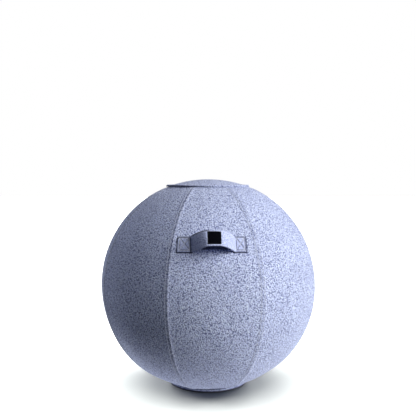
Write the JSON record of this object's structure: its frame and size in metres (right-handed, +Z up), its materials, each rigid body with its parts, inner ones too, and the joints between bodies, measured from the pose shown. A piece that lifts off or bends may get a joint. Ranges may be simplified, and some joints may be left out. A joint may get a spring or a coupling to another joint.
{
  "type": "balance ball chair",
  "caption": "Inflated ball seat in a fitted fabric cover of lune-shaped gores, with a brimmed top, a weighted flat base, a bowed carry handle and a zip.",
  "frame": {"origin": "centre of the flat base, on the floor under the ball's vertical axis", "axes": "+Z up along the ball's vertical axis; -Y is the front, where the carry handle is; +X is to the viewer's right"},
  "size_m": [0.65, 0.6647, 0.6183],
  "materials": {
    "cover_fabric": "felted melange cloth, matte, with fine light and dark flecks",
    "thread": "sewing thread, low sheen",
    "ball_skin": "soft PVC, satin",
    "valve_plastic": "moulded, semi-gloss",
    "stiffener_plastic": "foamed sheet, matte",
    "webbing": "woven polypropylene",
    "weight_rubber": "solid rubber ring, matte",
    "grip_rubber": "dotted anti-slip sheet, matte",
    "label_weave": "dense satin weave, low sheen",
    "zip_tape": "twill tape",
    "zip_coil": "nylon coil, satin",
    "zip_metal": "lacquered die-cast metal, satin"
  },
  "bodies": {
    "covered_ball": {"base_brim": "cover_fabric", "base_brim_core": "weight_rubber", "base_brim_stitching": "thread", "base_panel": "cover_fabric", "box_stitch_left": "thread", "box_stitch_right": "thread", "gore_back": "cover_fabric", "gore_back_left": "cover_fabric", "gore_back_right": "cover_fabric", "gore_front": "cover_fabric", "gore_front_left": "cover_fabric", "gore_front_right": "cover_fabric", "gore_left": "cover_fabric", "gore_right": "cover_fabric", "grip_pad": "grip_rubber", "handle_end_left": "cover_fabric", "handle_end_right": "cover_fabric", "inner_ball": "ball_skin", "seam_stitching_1": "thread", "seam_stitching_2": "thread", "seam_stitching_3": "thread", "seam_stitching_4": "thread", "seam_stitching_5": "thread", "seam_stitching_6": "thread", "seam_stitching_7": "thread", "seam_stitching_8": "thread", "top_brim": "cover_fabric", "top_brim_core": "stiffener_plastic", "top_brim_stitching": "thread", "top_panel": "cover_fabric", "valve_plug": "valve_plastic", "valve_seat": "valve_plastic", "zip_coil_left": "zip_coil", "zip_coil_right": "zip_coil", "zip_stitching": "thread", "zip_stop_bottom": "zip_coil", "zip_stop_top": "zip_coil", "zip_tape_left": "zip_tape", "zip_tape_right": "zip_tape"},
    "handle": {"handle_strap": "cover_fabric", "handle_core": "webbing", "label_patch": "label_weave", "label_stitching": "thread"},
    "slider": {"zip_slider": "zip_metal"},
    "pull_tab": {"zip_pull": "zip_metal"}
  },
  "joints": [
    {"name": "handle_swing", "type": "hinge", "parent": "covered_ball", "child": "handle", "pos_m": [0, -0.29949, 0.45605], "axis": [1, 0, 0], "range_deg": [-25, 25], "stiffness_Nm_per_rad": 0.2},
    {"name": "zip_travel", "type": "hinge", "parent": "covered_ball", "child": "slider", "pos_m": [0.00472, 0.01211, 0.30373], "axis": [-0.9317, 0.3633, 0], "range_deg": [0, 100], "deforming": ["zip_coil_left", "zip_coil_right"]},
    {"name": "pull_flip", "type": "hinge", "parent": "slider", "child": "pull_tab", "pos_m": [0.07526, 0.19303, 0.55227], "axis": [0.9317, -0.3633, 0], "range_deg": [0, 175]}
  ]
}
